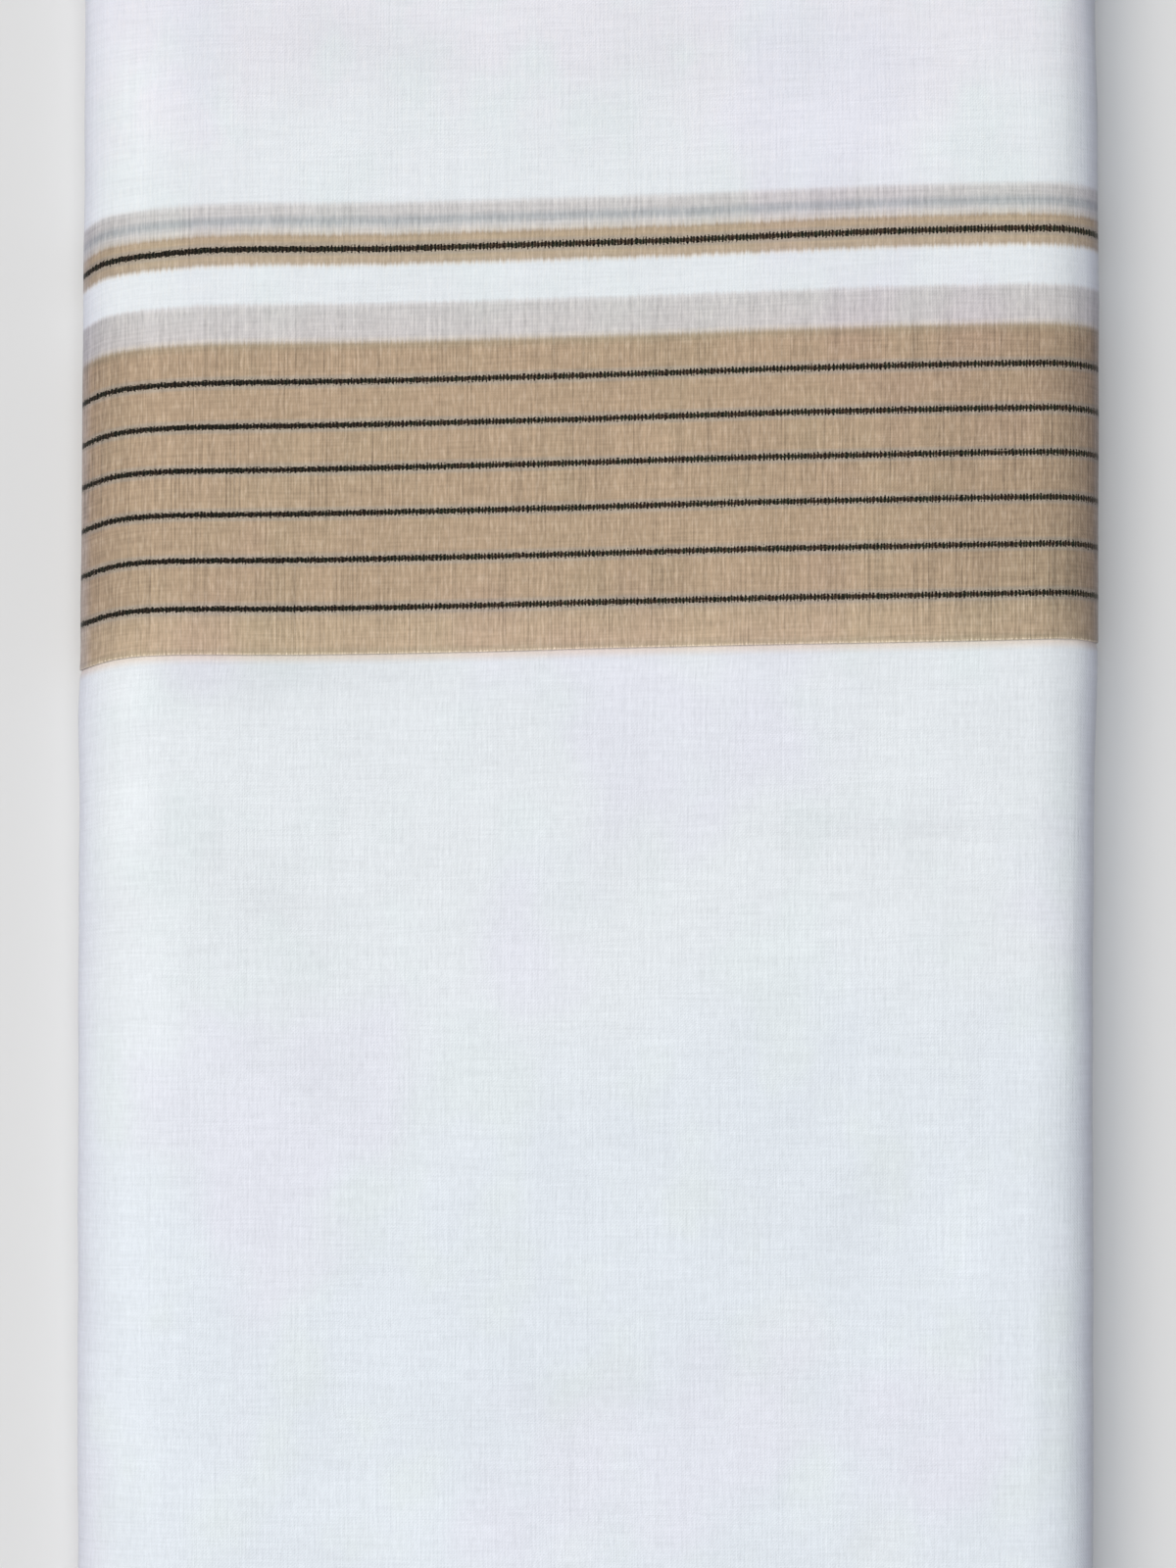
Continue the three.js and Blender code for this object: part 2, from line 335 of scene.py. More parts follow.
def relief(places, y):
    """How far the cloth is pressed in at each place: the creases, each a bell over a stretched and
    turned ellipse, and two crossing trains of long waves. It dies away underneath, which lies flat.
    """
    round_length = round_distance(places)
    front = np.flatnonzero(places.over > 0)
    middle = (round_length[front[0]] + round_length[front[-1]]) / 2
    u = (round_length - middle) / MM
    v = y / MM  # from here on, lengths are in millimetres
    pressed = np.zeros(np.broadcast_shapes(u.shape, v.shape))
    for crease in CREASES:
        turn = np.radians(crease["turn"])
        over_u, over_v = u - crease["round"], v - crease["along"]
        long = (over_u * np.cos(turn) + over_v * np.sin(turn)) / crease["length"]
        wide = (over_v * np.cos(turn) - over_u * np.sin(turn)) / crease["width"]
        pressed += crease["depth"] * MM * np.exp(-(long**2) - wide**2)
    waves = np.sin(u / 5.1 + 2.3 * np.sin(v / 21)) * np.sin(v / 6.3 + 1.9 * np.sin(u / 17))
    waves += np.sin(u / 9.7 + v / 13.1) * np.sin(v / 11.9 - u / 27)
    above = eased((np.sin(places.angle) + 0.5) / 0.5)
    return (pressed + WAVES * waves / 2) * above


def smoothed(line, along, reach):
    """The line's mean about each place, weighed by a bell of the given reach."""
    weight = np.exp(-0.5 * ((along[:, None] - along[None, :]) / reach) ** 2)
    step = np.gradient(along)
    return (weight * step * line).sum(1) / (weight * step).sum(1)


# ---------------------------------------------------------------- meshes

def grid_faces(rows, columns):
    """Corner numbers of the four-cornered faces of a grid whose last row joins its first."""
    row = np.arange(rows)[:, None]
    column = np.arange(columns - 1)[None, :]
    below, above = row * columns, (row + 1) % rows * columns
    corners = [below + column, below + column + 1, above + column + 1, above + column]
    return np.stack(corners, -1).reshape(-1, 4)


def cloth_piece(name, points, uv, shade, outer_rows, finish):
    """A closed wall from a grid of points whose rows run outside and back inside it.

    points is rows by columns by 3. The first outer_rows rows are the outer side; the rest are the
    inner side, coming back. The ends of the grid are closed across the wall.
    """
    rows, columns = points.shape[:2]
    faces = grid_faces(rows, columns)
    lid = np.arange(outer_rows - 1)
    back = rows - 1 - lid
    start = np.stack([lid, back, back - 1, lid + 1], -1) * columns
    finish_lid = np.stack([lid, lid + 1, back - 1, back], -1) * columns + columns - 1
    faces = np.concatenate([faces, start[:, ::-1], finish_lid[:, ::-1]])
    return smooth_piece(name, points, uv, faces.tolist(), finish, shade)


def ribbon_piece(name, points, uv, finish):
    """A closed tube from a grid whose rows go round it, with one flat face over each of its ends."""
    rows, columns = points.shape[:2]
    faces = grid_faces(rows, columns).tolist()
    faces.append((np.arange(rows) * columns).tolist())
    faces.append((np.arange(rows)[::-1] * columns + columns - 1).tolist())
    return smooth_piece(name, points, uv, faces, finish)


def smooth_piece(name, points, uv, faces, finish, shade=None):
    """A smooth piece on the one body: its points with their UVs, its faces, and its finish.

    shade, how much darker the cloth is painted at each point, a painted shade, is kept as an
    attribute for the finish.
    """
    mesh = bpy.data.meshes.new(name)
    mesh.from_pydata(points.reshape(-1, 3), [], faces)
    layer = mesh.uv_layers.new(name="cloth")
    corners = np.empty(len(mesh.loops), dtype=np.int32)
    mesh.loops.foreach_get("vertex_index", corners)
    layer.data.foreach_set("uv", uv.reshape(-1, 2)[corners].ravel())
    if shade is not None:
        mesh.attributes.new("shade", "FLOAT", "POINT").data.foreach_set("value", shade.ravel())
    mesh.polygons.foreach_set("use_smooth", np.ones(len(mesh.polygons), dtype=bool))
    turn_outwards(mesh)
    mesh.materials.append(finish)
    mesh.update()
    piece = bpy.data.objects.new(name, mesh)
    bpy.context.scene.collection.objects.link(piece)
    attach(piece, "root")
    return piece


def turn_outwards(mesh):
    """Flips every face if the closed mesh encloses less than nothing."""
    points = np.empty(len(mesh.vertices) * 3)
    mesh.vertices.foreach_get("co", points)
    points = points.reshape(-1, 3)
    mesh.calc_loop_triangles()
    triangles = np.empty(len(mesh.loop_triangles) * 3, dtype=np.int32)
    mesh.loop_triangles.foreach_get("vertices", triangles)
    a, b, c = (points[triangles.reshape(-1, 3)[:, i]] for i in range(3))
    if (a * np.cross(b, c)).sum() < 0:
        mesh.flip_normals()


def round_distance(places):
    """U: the length of the outline from its first place to each, at the packet's middle."""
    x, z = outline(places, np.zeros_like(places.share), 0.0)
    return np.concatenate([[0], np.cumsum(np.hypot(np.diff(x), np.diff(z)))])


def swept(places, v, depth, settle):
    """Points, UVs and shade of a profile carried round the places: y is V plus the grain's run.

    The painted shade grows with the pressing, darker in troughs and lighter on ridges, and a painted
    darkening near the sides falls off exponentially with the distance from them.
    """
    y = v[:, None] + grain(places, v)
    pressed = relief(places, y)
    x, z = outline(places, y, depth[:, None] + pressed, settle[:, None])
    u = np.broadcast_to(round_distance(places), x.shape)
    # painted shade: darker in the troughs, a painted highlight on the ridges
    shade = PRESSED_PAINTED_SHADE * pressed / MM
    # painted shade where the cloth turns over the sides, falling off with the distance from them
    for side in (0, 1):
        nearer = (places.share < 0.5) == (side == 0)
        from_side = ACROSS_OVER[side] * (1 - np.abs(np.cos(places.angle)))
        shade += EDGE_PAINTED_SHADE[side] * np.exp(-from_side / EDGE_REACH[side]) * nearer
    return np.stack([x, y, z], -1), np.stack([u, np.broadcast_to(v[:, None], x.shape)], -1), shade


def bend(middle, radius, start, finish, steps):
    """Points on a round, as V and depth: middle + radius (cos, sin) of angles in degrees from V."""
    angle = np.radians(np.linspace(start, finish, steps + 1))
    return middle[0] + radius * np.cos(angle), middle[1] + radius * np.sin(angle)


def outer_turn_places():
    """The outer turn: from its free end underneath, all round, and on under the free end again."""
    passed = FREE_SHARE + PASSING_SHARE
    turn = walk(FREE_SHARE, passed, front=150, corner=14, under=60)
    dip = np.linspace(0, 1, DIP_STEPS + 1)[1:]
    tucked = Places(
        passed - dip * (PASSING_SHARE + TUCKED_SHARE),
        np.full(DIP_STEPS, -90.0),
        np.zeros(DIP_STEPS),
        TUCK * eased(dip * DIP_HASTE),
    )
    return turn.joined(tucked)


def border_stretch(finish):
    """The border stretch: a wall from the selvedge to the top end, folded over and turned inside.

    Its profile runs out along depth 0, round the fold of radius (LAYER + CLOTH) / 2, and comes back a
    cloth's thickness further in.
    """
    radius = (LAYER + CLOTH) / 2
    fold = (TOP_END - radius, radius)
    run = np.linspace(SELVEDGE_FULL, fold[0] - TO_FOLD, 124)
    outer_fold = bend(fold, radius, -90, 90, 6)
    inner_fold = bend(fold, radius - CLOTH, 90, -90, 6)
    v = np.concatenate([[0.0], run, outer_fold[0], inner_fold[0], run[::-1], [0.0]])
    depth = np.concatenate(
        [
            [SELVEDGE_CUT],
            np.zeros_like(run),
            outer_fold[1],
            inner_fold[1],
            np.full_like(run, CLOTH),
            [CLOTH - SELVEDGE_CUT],
        ]
    )
    places = outer_turn_places()
    points, uv, shade = swept(places, v, depth, np.zeros(len(v)))
    piece = cloth_piece("border_stretch", points, uv, shade, len(v) // 2, finish)
    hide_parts("border_stretch")
    around = round_distance(places)[-1]
    return piece


def plain_stretch(finish):
    """The plain stretch: a wall a layer inside the border stretch, folded back at the bottom end.

    Just past the selvedge it rises, in a soft step, almost to the border stretch's face, and further
    on it sinks again in another. Under the packet it settles, in a third, to the surface.
    """
    radius = (LAYER + CLOTH) / 2
    fold = (BOTTOM_END + radius, LAYER + radius)
    run = np.concatenate(
        [
            np.linspace(TOP_END - SHORT_OF_TOP, 0, 34)[:-1],
            np.linspace(0, -RISE_REACH, 7)[:-1],
            np.linspace(-RISE_REACH, CREASED_TO, 52)[:-1],
            np.linspace(CREASED_TO, fold[0] + TO_FOLD, 62),
        ]
    )
    outer_fold = bend(fold, radius, 270, 90, 6)
    inner_fold = bend(fold, radius - CLOTH, 90, 270, 6)
    back = np.array([BOTTOM_END + RETURN])

    def face(v):
        """The depth of the outer side at each V."""
        raised = eased((-RISE_FROM - v) / RISE_REACH)
        return LAYER - RISE * raised * (1 - eased((-SINK_FROM - v) / SINK_REACH))

    v = np.concatenate([run, outer_fold[0], back, back, inner_fold[0], run[::-1]])
    depth = np.concatenate(
        [
            face(run),
            outer_fold[1],
            [LAYER + 2 * radius],
            [LAYER + 2 * radius - CLOTH],
            inner_fold[1],
            face(run)[::-1] + CLOTH,
        ]
    )
    settle = face(v) * eased((-SETTLE_FROM - v) / SETTLE_REACH)
    places = outer_turn_places()
    points, uv, shade = swept(places, v, depth, settle)
    piece = cloth_piece("plain_stretch", points, uv, shade, len(v) // 2, finish)
    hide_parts("plain_stretch")
    around = round_distance(places)[-1]
    return piece


def uneven(along, reach, seed, amount):
    """Soft chance: four sines, of lengths about the reach and of random phase, added up.

    The longer ones are the larger, by the square root of their length, and usual is about what
    their sum comes to, which stands for the amount.
    """
    chance = np.random.default_rng(seed)
    usual = 2.2
    total = np.zeros_like(along)
    for stretch in (0.45, 0.8, 1.3, 2.1):
        phase = chance.uniform(0, 2 * np.pi)
        total += stretch**0.5 * np.sin(2 * np.pi * along / (reach * stretch) + phase)
    return amount * total / usual


def inner_turns(finish):
    """The turns inside: a ribbon three layers thick, wound inwards by one pitch a turn.

    Its depth grows in step with its turns. At either end two of its layers are one fold, a half
    round, and the third ends on its own a little further in, past a groove.
    """
    whole = int(TURNS)
    beside_tucked_end = 0.004
    first = FREE_SHARE - TUCKED_SHARE - beside_tucked_end
    places = walk(first, first, front=48, corner=7, under=48)
    around = len(places.share) - 1
    share = np.concatenate([places.share[:-1]] * (whole + 1))
    angle = np.degrees(np.concatenate([places.angle[:-1]] * (whole + 1)))
    over = np.concatenate([places.over[:-1]] * (whole + 1))
    keep = int(around * TURNS)
    wound = Places(share[:keep], angle[:keep], over[:keep])
    turn = np.arange(keep) / around
    sink = TURN + PITCH * turn
    wound.tuck = sink
    along = round_distance(wound)

    def end(at, packet_end):
        """Rows across one end, outer side first: the fold's half round, then the single edge."""
        way, half = at["way"], FOLDED / 2
        wander = uneven(along, at["folds_over"] * MM, at["folds_seed"], at["folds_wander"] * MM)
        folds = packet_end - way * at["folds_in"] * MM + wander
        wander = uneven(along, at["edges_over"] * MM, at["edges_seed"], at["edges_wander"] * MM)
        edges = folds - way * (at["edges_in"] * MM - wander)
        rows = []
        for across in np.linspace(-1, 1, 7):
            rows.append((folds - way * half * (1 - np.cos(np.arcsin(across))), half * (1 + across)))
        rows.append((edges - way * GROOVE, FOLDED + 0.01 * MM))
        rows.append((edges, FOLDED + 0.06 * MM))
        rows.append((edges, RIBBON - 0.03 * MM))
        rows.append((edges - way * 0.1 * MM, RIBBON))
        return rows

    straight = np.linspace(BOTTOM_END + STRAIGHT_FROM, TOP_END - STRAIGHT_FROM, 9)
    rows = [(np.full(keep, y), 0.0) for y in straight]
    rows += end(ENDS[0], TOP_END)
    rows += [(np.full(keep, y), RIBBON) for y in straight[::-1]]
    rows += end(ENDS[1], BOTTOM_END)[::-1]
    y = np.stack([row[0] for row in rows])
    depth = np.array([row[1] for row in rows])[:, None]
    x, z = outline(wound, y, depth)
    uv = np.stack([np.broadcast_to(along, y.shape), y], -1)
    piece = ribbon_piece("inner_turns", np.stack([x, y, z], -1), uv, finish)
    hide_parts("inner_turns")
    return piece


# ---------------------------------------------------------------- finishes

class Sum:
    """A number in a material. Sums, products and differences of these add their Math nodes."""

    def __init__(self, finish, socket):
        self.finish = finish
        self.socket = socket

    def _math(self, operation, first, second=None):
        inputs = {0: first} if second is None else {0: first, 1: second}
        return self.finish.node("ShaderNodeMath", {"operation": operation}, inputs)

    def __add__(self, other):
        return self._math("ADD", self, other)

    def __radd__(self, other):
        return self._math("ADD", other, self)

    def __sub__(self, other):
        return self._math("SUBTRACT", self, other)

    def __rsub__(self, other):
        return self._math("SUBTRACT", other, self)

    def __mul__(self, other):
        return self._math("MULTIPLY", self, other)

    def __rmul__(self, other):
        return self._math("MULTIPLY", other, self)

    def __truediv__(self, other):
        return self._math("DIVIDE", self, other)

    def __abs__(self):
        return self._math("ABSOLUTE", self)

    def least(self, other):
        return self._math("MINIMUM", self, other)

    def sine(self):
        return self._math("SINE", self)

    def to(self, low, high, new_low=0.0, new_high=1.0):
        """The number carried from low and high to new ones in a soft step, and held outside them."""
        return self.finish.node(
            "ShaderNodeMapRange",
            {"interpolation_type": "SMOOTHSTEP"},
            {"Value": self, "From Min": low, "From Max": high, "To Min": new_low, "To Max": new_high},
        )


class Finish:
    """A tree of nodes, the one way that they are made, and the node that they end at."""

    def __init__(self, owner, last):
        owner.use_nodes = True
        self.owner = owner
        self.tree = owner.node_tree
        self.last = self.tree.nodes[last]

    def node(self, kind, settings=None, inputs=None, output=0):
        """Adds a node: its settings first, then values or links on its sockets. Gives one output.

        A ramp's stops are a setting, rows of a place from 0 to 1 and a colour.
        """
        made = self.tree.nodes.new(kind)
        settings = dict(settings or {})
        stops = settings.pop("stops", [])
        for _ in stops[2:]:
            made.color_ramp.elements.new(1.0)
        for number, (place, colour) in enumerate(stops):
            made.color_ramp.elements[number].position = place
            made.color_ramp.elements[number].color = colour
        for name, value in settings.items():
            setattr(made, name, value)
        for name, value in (inputs or {}).items():
            socket = made.inputs[name]
            if isinstance(value, Sum):
                self.tree.links.new(value.socket, socket)
            else:
                socket.default_value = value
        return Sum(self, made.outputs[output])

    def place(self):
        """U and V of the cloth in millimetres, and both as one vector."""
        uv = self.node("ShaderNodeUVMap", {"uv_map": "cloth"})
        to_mm = (1 / MM, 1 / MM, 0)
        both = self.node("ShaderNodeVectorMath", {"operation": "MULTIPLY"}, {0: uv, 1: to_mm})
        return self.part(both, "X"), self.part(both, "Y"), both

    def part(self, vector, name):
        """One of a vector's three numbers."""
        return self.node("ShaderNodeSeparateXYZ", {}, {0: vector}, output=name)

    def across(self):
        """The distance across the packet from its middle, in millimetres."""
        return self.part(self.node("ShaderNodeTexCoord", output="Object"), "X") * (1 / MM)

    def noise(self, place, size_u, size_v, detail=2.0, shift=0.0):
        """Soft noise from 0 to 1 with features of the given millimetres along U and V.

        shift moves it to another place of the same noise, further along V than along U.
        """
        moved = self.node(
            "ShaderNodeVectorMath",
            {"operation": "MULTIPLY_ADD"},
            {0: place, 1: (1 / size_u, 1 / size_v, 0), 2: (shift, shift * 1.7, 0)},
        )
        return self.node(
            "ShaderNodeTexNoise",
            {"noise_dimensions": "2D"},
            {"Vector": moved, "Scale": 1.0, "Detail": detail, "Roughness": 0.5},
        )

    def ramp(self, place, rows):
        """A colour that runs through the rows, each of a place in millimetres and a display colour."""
        end = rows[-1][0]
        stops = [(at / end, rgb(*colour)) for at, colour in rows]
        return self.node("ShaderNodeValToRGB", {"stops": stops}, {"Fac": place / end}, output="Color")

    def mix(self, share, first, second):
        """Two colours mixed by a share."""
        colours = {0: share, 6: first, 7: second}
        return self.node("ShaderNodeMix", {"data_type": "RGBA"}, colours, output=2)

    def scaled(self, colour, share):
        """A colour times a number."""
        sockets = {0: colour, "Scale": share}
        return self.node("ShaderNodeVectorMath", {"operation": "SCALE"}, sockets)

    def set(self, name, value):
        """Gives a socket of the last node a value or a link."""
        if isinstance(value, Sum):
            self.tree.links.new(value.socket, self.last.inputs[name])
        else:
            self.last.inputs[name].default_value = value


def material(name):
    """A new material, which ends at its Principled BSDF."""
    return Finish(bpy.data.materials.new(name), "Principled BSDF")


def rgb(red, green, blue):
    """A colour of display values from 0 to 255, as the linear values that materials use."""
    display = np.array([red, green, blue]) / 255
    linear = np.where(display <= 0.04045, display / 12.92, ((display + 0.055) / 1.055) ** 2.4)
    return (*linear.tolist(), 1.0)


WHITE = (227.5, 230.5, 235)
DARK = rgb(6, 5, 3)                      # the dark lines' yarn, and its two worn shades
DARK_GREENISH = rgb(34, 46, 30)
DARK_BROWN = rgb(58, 42, 32)
DARK_GAP = rgb(104, 90, 70)              # where a weft passes over it
HALO = rgb(170, 158, 145)                # the greyed cloth on either side of a dark line
PALE_WEFT = rgb(214, 205, 194)           # an undyed weft that shows in the coloured bands
PAINTED_SHEEN_COLOUR = rgb(205, 203, 208)          # painted sheen: the bands lighter and greyer where the cloth turns over the sides
WARM_EDGE = rgb(230, 215, 203)           # the white just past the selvedge, warmer

# The border's woven bands: display colours at V, in millimetres from the selvedge, run into each
# other between the rows.
BANDS = [
    # the first row, at the selvedge's very edge, is lightened against the shade of the step there: a
    # painted highlight
    (0.0, (250, 230, 204)),
    (0.3, (202, 181, 153)),
    (0.6, (187, 167, 142)),
    (1.6, (193, 169, 143)),
    (6.5, (188, 165, 139)),
    (8.2, (184, 163, 140)),
    (11.5, (181, 157, 132)),
    (61.0, (181, 156, 131)),
    (62.2, (171, 151, 127)),
    (62.7, (177, 160, 140)),
    (63.4, (208, 198, 191)),
    (64.2, (205, 199, 199)),
    (69.7, (203, 199, 199)),
    (70.4, (212, 208, 209)),
    (71.2, WHITE),
    (77.9, WHITE),
    (78.5, (222, 216, 211)),
    (79.0, (184, 166, 147)),
    (80.2, (187, 167, 143)),
    (83.8, (185, 164, 139)),
    (84.4, (178, 158, 136)),
    (85.2, (208, 200, 193)),
    (86.2, (205, 201, 200)),
    (87.2, (178, 180, 183)),
    (87.9, (177, 178, 181)),
    (88.9, (203, 199, 199)),
    (90.1, (203, 199, 199)),
    (90.7, (213, 210, 211)),
    (91.6, WHITE),
    (96.0, WHITE),
]
DARK_LINES = (9.3, 19.15, 28.5, 37.5, 46.3, 55.1)
THIN_LINE = 81.8
THREAD = 0.35                            # millimetres from one thread to the next
PICKS = 2 * THREAD                       # two weft threads: the length of a dark line's tooth
LINE_EDGE = (0.38, 0.72)                 # distances from a dark line's middle between which it ends
BROADER = 0.05                           # how much broader the thin band's is, on either side
TOOTH = 0.16                             # how far its teeth push that edge to and fro,
CRUMB = 1.1                              # and how far its crumbs do
HALO_EDGE = (0.9, 1.7)                   # distances from its middle between which the halo ends

# The coloured bands' darkening towards the sides, partly the yarn's own darker colour and partly
# painted shade, and their rims, a painted sheen: the two places across, in millimetres, between
# which each grows, and what it grows from and to.
LEFT_DARK = (-88.0, -99.0, 0.0, 0.16)
RIGHT_DARK = (48.0, 86.0, 0.0, 0.11)
FAR_RIGHT_DARK = (87.0, 101.0, 0.0, 0.1)
LEFT_PAINTED_SHEEN = (-100.4, -102.8, 0.0, 0.3)
RIGHT_PAINTED_SHEEN = (102.0, 104.0, 0.0, 0.25)

# The threads, as noises: the millimetres of a feature along U and along V, the noise's detail, and
# its shift. The wefts run along V and the warps along U.
THREADS = {
    "weft": (0.42, 26.0, 1.0, 0.0),
    "weft_short": (0.5, 2.6, 1.0, 7.0),
    "weft_group": (1.8, 60.0, 2.0, 13.0),
    "warp": (9.0, 0.5, 1.0, 3.0),
    "warp_group": (30.0, 2.4, 2.0, 31.0),
}

# How much each of them lightens and darkens white cloth, and the coloured bands.
WHITE_STREAKS = {
    "weft": 0.07,
    "weft_short": 0.13,
    "weft_group": 0.05,
    "warp": 0.09,
    "warp_group": 0.05,
}
BAND_STREAKS = {"weft": 0.5, "weft_short": 0.42, "weft_group": 0.16, "warp": 0.26}

# The white's faint tints, as shares of red, green and blue.
TINT_MIDDLE = (0.99, 1.004, 0.998, 1)
TINT_BOTTOM = (0.962, 0.992, 1.015, 1)
TINT_TOP = (1.0, 0.968, 0.988, 1)
TINT_PATCHES = (0.966, 1.004, 0.985, 1)
TINT_CLOUDS = (0.985, 0.966, 1.018, 1)
# the cool tint of the painted shade, where it is deep
TINT_PAINTED_SHADE = (0.965, 0.965, 1.04, 1)


def cotton(name):
    """What all the cotton shares: its place in millimetres, its threads, and its faint tints.

    The weave is the product of two sines, a thread to each half turn. The tints multiply the
    colour: a little violet at the top end, a little blue at the bottom end, with a cloudy border
    between them, and patches and clouds all over. The painted shade of the creases and turned
    sides then darkens the colour, and cools it where that painted shade is deep.
    """
    finish = material(name)
    u, v, place = finish.place()
    threads = {thread: finish.noise(place, *row) for thread, row in THREADS.items()}
    threads["weave"] = (u * (np.pi / THREAD)).sine() * (v * (np.pi / THREAD)).sine()

    cloud = finish.noise(place, 55.0, 70.0, detail=3.0, shift=11.0)
    patch = finish.noise(place, 20.0, 26.0, detail=3.0, shift=23.0)
    drift = v + (cloud - 0.5) * 90
    tint = finish.mix(drift.to(-50.0, -120.0), TINT_MIDDLE, TINT_BOTTOM)
    tint = finish.mix(drift.to(90.0, 125.0), tint, TINT_TOP)
    tint = finish.mix(patch.to(0.45, 0.72, 0.0, 0.8), tint, TINT_PATCHES)
    tint = finish.mix(cloud.to(0.54, 0.72, 0.0, 0.8), tint, TINT_CLOUDS)
    # the painted shade, read from the attribute: cooler where deep, and darkening the colour below
    shade = finish.node("ShaderNodeAttribute", {"attribute_name": "shade"}, output="Fac")
    tint = finish.mix(shade.to(0.03, 0.28), tint, TINT_PAINTED_SHADE)
    return finish, u, v, place, threads, finish.scaled(tint, 1 - shade)


def shaded(finish, colour, tint, shade):
    """The colour times the tint times the shade."""
    tinted = finish.node("ShaderNodeVectorMath", {"operation": "MULTIPLY"}, {0: colour, 1: tint})
    return finish.scaled(tinted, shade)


def finished(finish, colour, threads):
    """Sets the surface: matte with a soft nap, and the threads standing up."""
    height = threads["weave"] * 0.35 + threads["weft"] * 1.4 + threads["weft_short"] + threads["warp"]
    threads_up = {"Strength": 0.45, "Distance": 0.1 * MM, "Height": height}
    surface = finish.node("ShaderNodeBump", {}, threads_up)
    finish.set("Base Color", colour)
    finish.set("Normal", surface)
    finish.set("Roughness", 0.9)
    finish.set("Specular IOR Level", 0.2)
    finish.set("Sheen Weight", 0.22)
    finish.set("Sheen Roughness", 0.4)
    return finish.owner


def streaks(threads, shares):
    """The threads' light and dark streaks: each noise about its middle times its share, added up."""
    return sum((threads[thread] - 0.5) * share for thread, share in shares.items())


def plain_cotton(name):
    """White cotton, as it came off the loom, with a painted shadow and a warmer white just past the
    selvedge.
    """
    finish, _, v, _, threads, tint = cotton(name)
    above_edge = v.to(2.0, 6.0)
    # painted shadow just past the selvedge, where the border's edge stands over the cloth
    darker = v.to(-3.2, -0.4) * (1 - above_edge) * 0.08
    warmer = v.to(-2.4, -0.1) * (1 - above_edge) * 0.85
    colour = finish.mix(warmer, rgb(*WHITE), WARM_EDGE)
    colour = shaded(finish, colour, tint, (1 + streaks(threads, WHITE_STREAKS)) * (1 - darker))
    return finished(finish, colour, threads)


def border_cotton(name):
    """The same cotton with its border: bands and dark lines along U, at set distances V.

    The bands' edges are ragged by a weft or two. A thick or thin weft shows in them as a lighter or
    darker streak, less so in the paler bands. Towards the sides they are darker, partly in the yarn's
    own colour and partly by painted shade, and at the very sides a painted sheen greys them.
    """
    finish, u, v, place, threads, tint = cotton(name)
    ragged = finish.noise(place, 0.45, 30.0, detail=1.0, shift=17.0)
    bands = finish.ramp(v + (ragged - 0.5) * 0.9, BANDS)
    bands = finish.mix(threads["weft_short"].to(0.5, 0.75, 0.0, 0.1), bands, PALE_WEFT)
    white = v.to(70.2, 71.2) * (1 - v.to(78.0, 78.8)) + v.to(90.4, 91.4)

    streak = streaks(threads, BAND_STREAKS) * (1 - v.to(61.5, 64.0, 0.0, 0.3))
    slub = finish.noise(place, 0.36, 26.0, detail=0.0, shift=53.0)
    thick = slub.to(0.66, 0.8, 0.0, 0.18) * (1 - v.to(60.0, 63.0, 0.0, 0.8))
    x = finish.across()
    # darker towards the sides: partly the yarn's own darker colour, partly painted shade
    at_right = (x.to(*RIGHT_DARK) + x.to(*FAR_RIGHT_DARK)) * (1 - v.to(60.0, 64.0, 0.0, 0.7))
    coloured = 1 + streak - thick - x.to(*LEFT_DARK) - at_right
    shade = (1 + streaks(threads, WHITE_STREAKS)) * white + coloured * (1 - white)
    # painted sheen: the bands lighter and greyer at the very sides, where the cloth turns over
    painted_sheen = x.to(*LEFT_PAINTED_SHEEN) + x.to(*RIGHT_PAINTED_SHEEN)
    bands = finish.mix(painted_sheen * (1 - white), bands, PAINTED_SHEEN_COLOUR)

    nearest = abs(v - THIN_LINE) - BROADER
    for line in DARK_LINES:
        nearest = nearest.least(abs(v - line))
    bands = finish.mix(nearest.to(*HALO_EDGE, 0.75, 0.0), bands, HALO)
    colour = shaded(finish, bands, tint, shade)
    colour = dark_lines(finish, u, x, place, nearest, colour)
    return finished(finish, colour, threads)


def dark_lines(finish, u, x, place, nearest, cloth):
    """The cloth's colour with the dark lines over it, by the distance from the nearest line.

    A line is two or three warps wide. The wefts that pass over it cut it into teeth, a sine along U
    with a wandering phase, and into crumbs, a fine noise. Both push its edge to and fro, and show in
    its yarn. The weave is closer towards the left, and cuts it less there.
    """
    wander = finish.noise(place, 2.2, 40.0, detail=2.0, shift=41.0)
    teeth = (u * (2 * np.pi / PICKS) + wander * 9).sine()
    crumbs = finish.noise(place, 0.5, 0.35, detail=2.0, shift=29.0)
    openness = x.to(-75.0, -5.0, 0.35, 1.0)
    edge = nearest + teeth * openness * TOOTH + (crumbs - 0.5) * CRUMB
    dye = finish.mix(wander.to(0.42, 0.58), DARK_GREENISH, DARK_BROWN)
    yarn = finish.mix(crumbs.to(0.42, 0.62) * openness, DARK, dye)
    yarn = finish.mix(teeth.to(0.0, 0.9, 0.0, 0.5) * openness, yarn, DARK_GAP)
    return finish.mix(edge.to(*LINE_EDGE, 1.0, 0.0), cloth, yarn)


# ---------------------------------------------------------------- floor, lights and camera

FLOOR_HALF = 6.0                         # half of the floor's side
WALLS_STRENGTH = 0.68                    # the pale walls' light, low all round
ABOVE_STRENGTH = 0.07                    # and the little that comes from between the lights
WALLS_END = (0.12, 0.3)                  # the heights of view, as sines, between which they meet
CAMERA_ABOVE = 0.9                       # the lens over the packet's front
VIEW_LENGTH = 0.3161                     # the length of the front that fills the view's height
VIEW_MIDDLE = -27.3 * MM                 # Y of the view's middle
SENSOR = 36.0                            # the longer side of the sensor, in millimetres


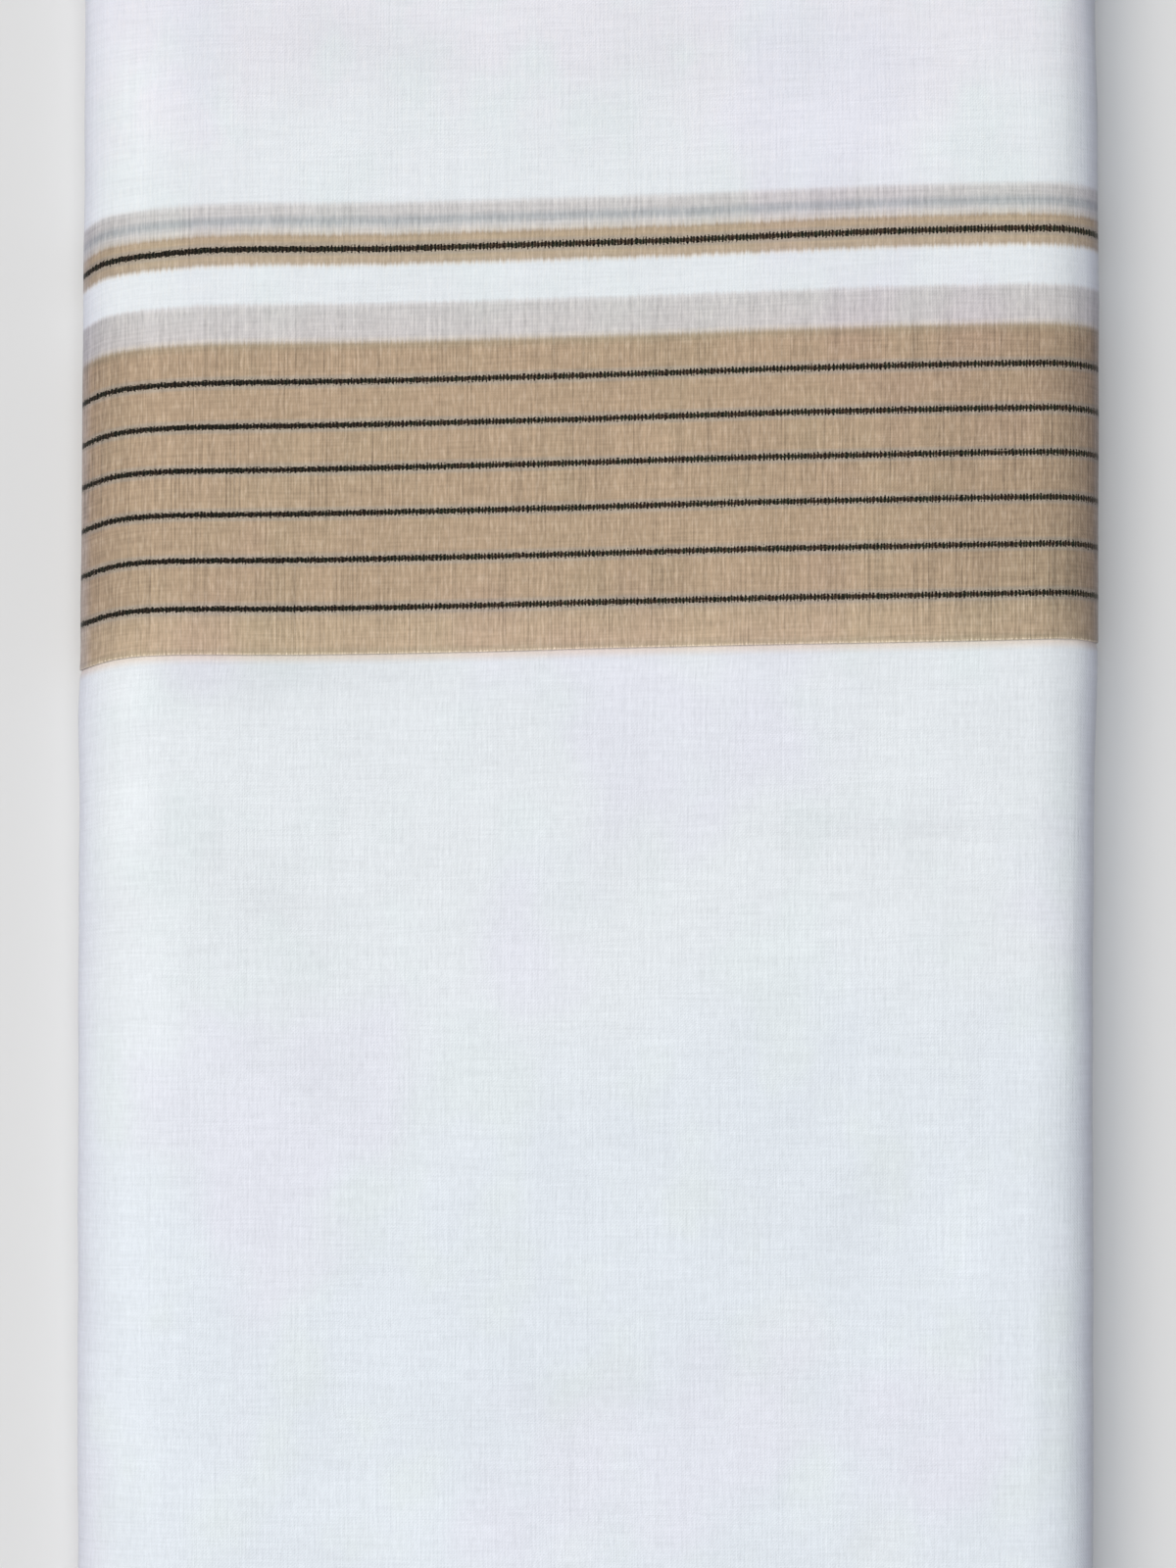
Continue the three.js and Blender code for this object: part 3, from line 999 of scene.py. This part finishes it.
def floor():
    """A plain pale floor, a flat square at height 0."""
    mesh = bpy.data.meshes.new("floor")
    corners = [(x * FLOOR_HALF, y * FLOOR_HALF, 0) for x, y in ((-1, -1), (1, -1), (1, 1), (-1, 1))]
    mesh.from_pydata(corners, [], [(0, 1, 2, 3)])
    finish = material("floor_paper")
    finish.set("Base Color", rgb(217, 217, 217))
    finish.set("Roughness", 0.9)
    finish.set("Specular IOR Level", 0.1)
    mesh.materials.append(finish.owner)
    made = bpy.data.objects.new("floor", mesh)
    bpy.context.scene.collection.objects.link(made)


def sun(name, azimuth, elevation, spread, share, colour):
    """A far light, spread over some degrees; its share is what it adds on white that faces it."""
    light = bpy.data.lights.new(name, "SUN")
    light.angle = np.radians(spread)
    light.energy = share * np.pi
    light.color = colour
    lamp = bpy.data.objects.new(name, light)
    turn, rise = np.radians(azimuth), np.radians(elevation)
    place = Vector((np.cos(turn) * np.cos(rise), np.sin(turn) * np.cos(rise), np.sin(rise)))
    lamp.rotation_euler = place.to_track_quat("Z", "Y").to_euler()
    bpy.context.scene.collection.objects.link(lamp)


def lights():
    """Soft light: a key from the upper left, a cooler light overhead, and pale walls low all round."""
    walls = Finish(bpy.data.worlds.new("studio"), "Background")
    height = walls.part(walls.node("ShaderNodeTexCoord", output="Generated"), "Z")
    walls.set("Color", (0.97, 1, 1.04, 1))
    walls.set("Strength", height.to(*WALLS_END, WALLS_STRENGTH, ABOVE_STRENGTH))
    bpy.context.scene.world = walls.owner
    sun("key", azimuth=142, elevation=42, spread=30, share=0.5, colour=(1.05, 1, 0.94))
    sun("overhead", azimuth=180, elevation=88, spread=56, share=0.59, colour=(0.975, 1, 1.03))


def camera():
    """A camera straight above the front, as far up as the lens's angle asks for the view's height."""
    view = bpy.data.cameras.new("camera")
    view.sensor_width = SENSOR
    view.lens = SENSOR * CAMERA_ABOVE / VIEW_LENGTH
    eye = bpy.data.objects.new("camera", view)
    eye.location = (0, VIEW_MIDDLE, FRONT + CROWN + CAMERA_ABOVE)
    eye.rotation_euler = (0, 0, 0)
    bpy.context.scene.collection.objects.link(eye)
    bpy.context.scene.camera = eye


camera()
floor()
lights()
bpy.context.scene.view_settings.view_transform = "Standard"

border_stretch(border_cotton("border_cotton"))
plain_stretch(plain_cotton("plain_cotton"))
inner_turns(plain_cotton("inner_cotton"))
